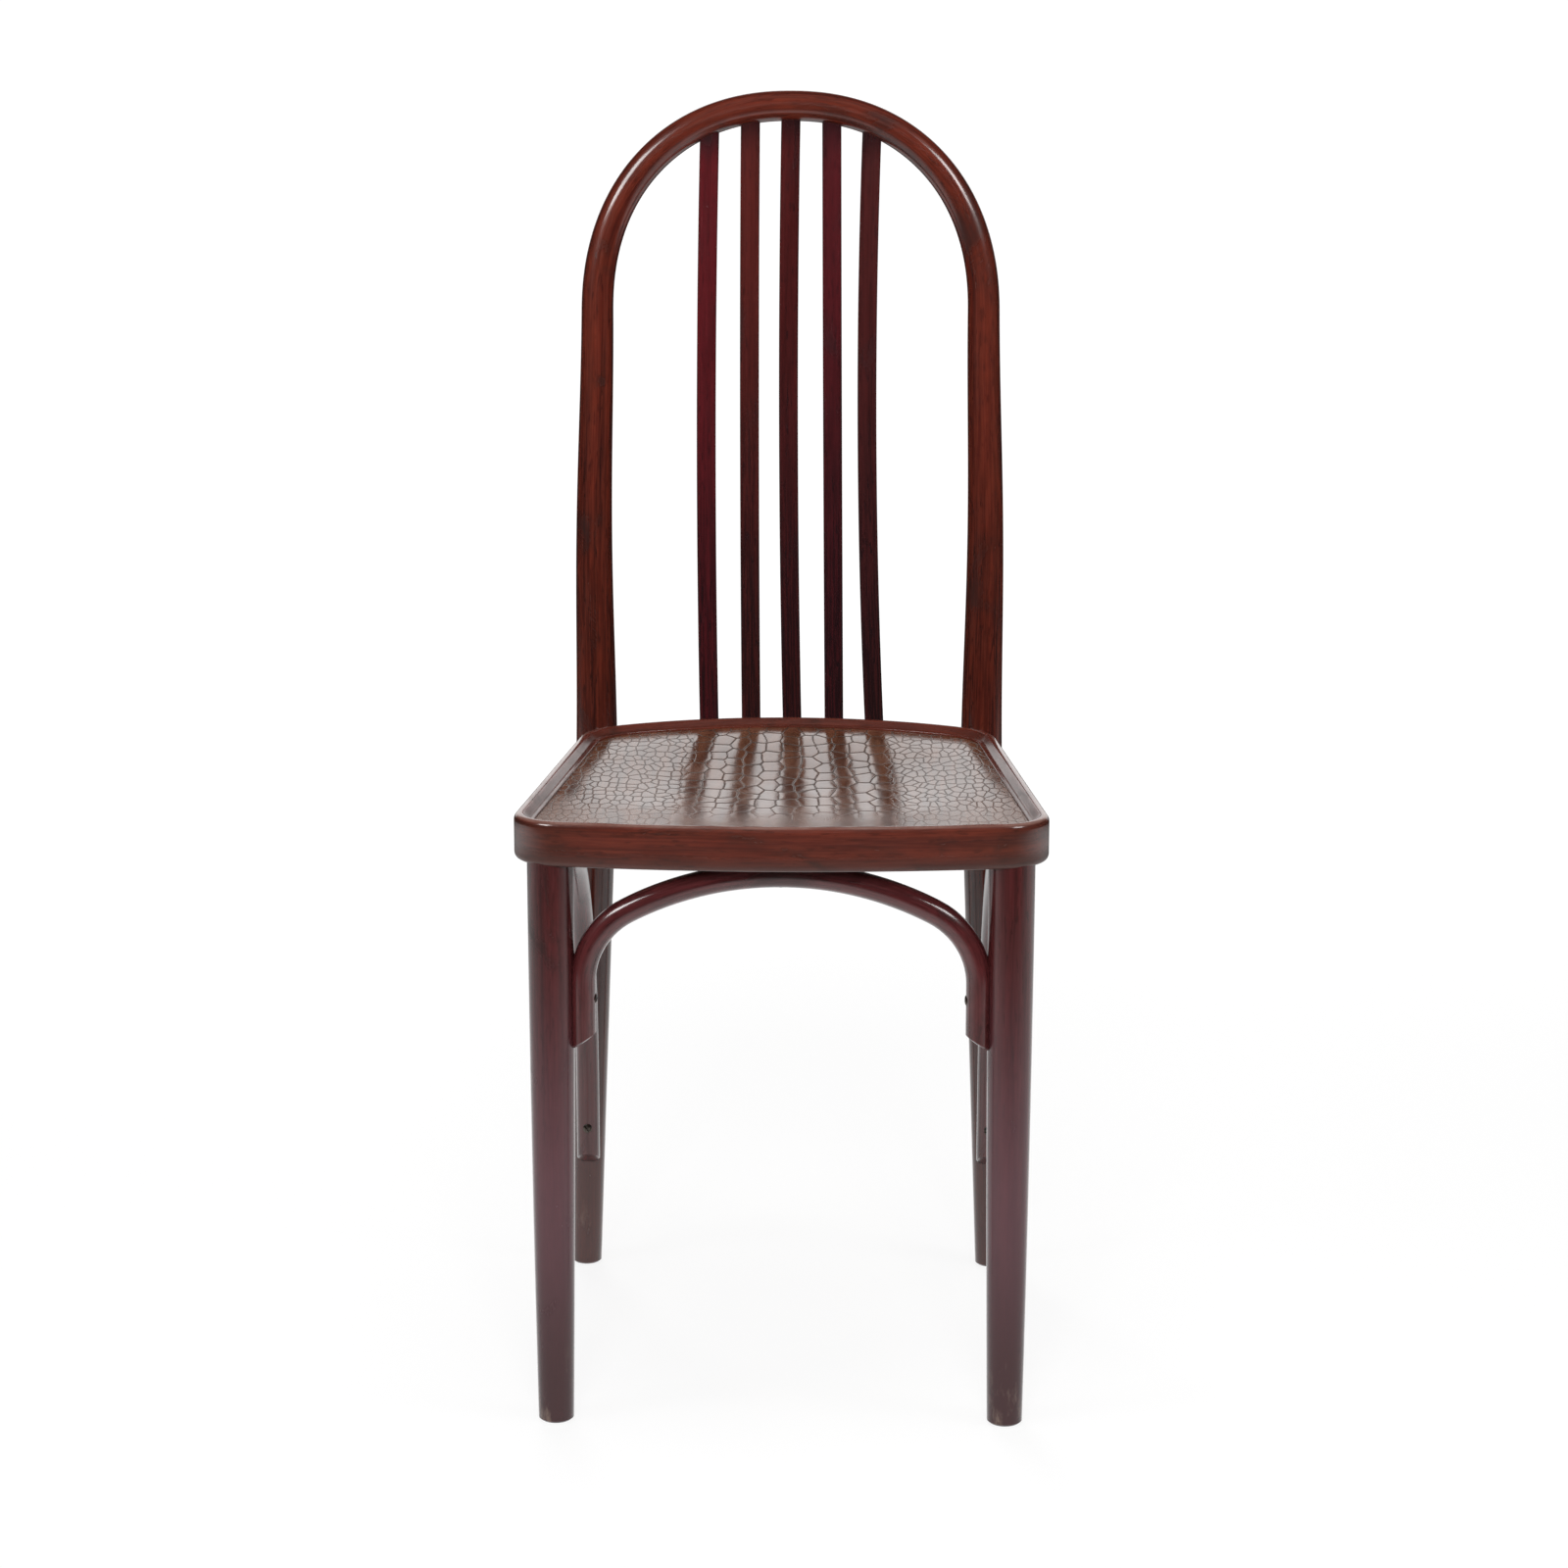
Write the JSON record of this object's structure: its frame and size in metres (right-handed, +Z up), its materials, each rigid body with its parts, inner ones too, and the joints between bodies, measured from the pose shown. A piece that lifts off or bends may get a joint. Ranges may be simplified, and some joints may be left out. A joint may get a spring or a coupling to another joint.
{
  "type": "slat back chair",
  "caption": "Bentwood side chair: one bent rod forms the rear legs and the arched back, with flat upright slats, a moulded seat ring, a dished embossed seat and arched braces.",
  "frame": {"origin": "on the floor, below the middle of the chair's overall box", "axes": "+Z up, -Y towards the front of the seat, +X to the right of someone looking at the front"},
  "size_m": [0.3946, 0.4561, 0.977],
  "materials": {
    "bow_wood": "bent beech, red-brown stain, glossy varnish",
    "slat_wood": "beech slats, dark burgundy stain, glossy varnish",
    "ring_wood": "bent beech, red-brown stain, glossy varnish",
    "panel_wood": "plywood with a pressed scale pattern, brown stain, glossy varnish",
    "leg_wood": "turned beech, purple-brown stain, glossy varnish, worn at the feet",
    "brace_wood": "bent beech, red-brown stain, glossy varnish",
    "steel": "dull plain steel, darkened"
  },
  "bodies": {
    "root": {"back_bow": "bow_wood", "seat_ring": "ring_wood", "seat_panel": "panel_wood", "front_leg_left": "leg_wood", "front_leg_right": "leg_wood", "front_brace": "brace_wood", "side_brace_left": "brace_wood", "side_brace_right": "brace_wood", "back_slat_1": "slat_wood", "back_slat_2": "slat_wood", "back_slat_3": "slat_wood", "back_slat_4": "slat_wood", "back_slat_5": "slat_wood", "post_bolt_left": "steel", "post_bolt_right": "steel", "post_washer_left": "steel", "post_washer_right": "steel", "post_nut_left": "steel", "post_nut_right": "steel", "front_brace_screws": "steel", "side_brace_front_screws": "steel", "side_brace_rear_screws": "steel", "brace_crown_screws": "steel", "slat_screws": "steel"}
  },
  "joints": []
}
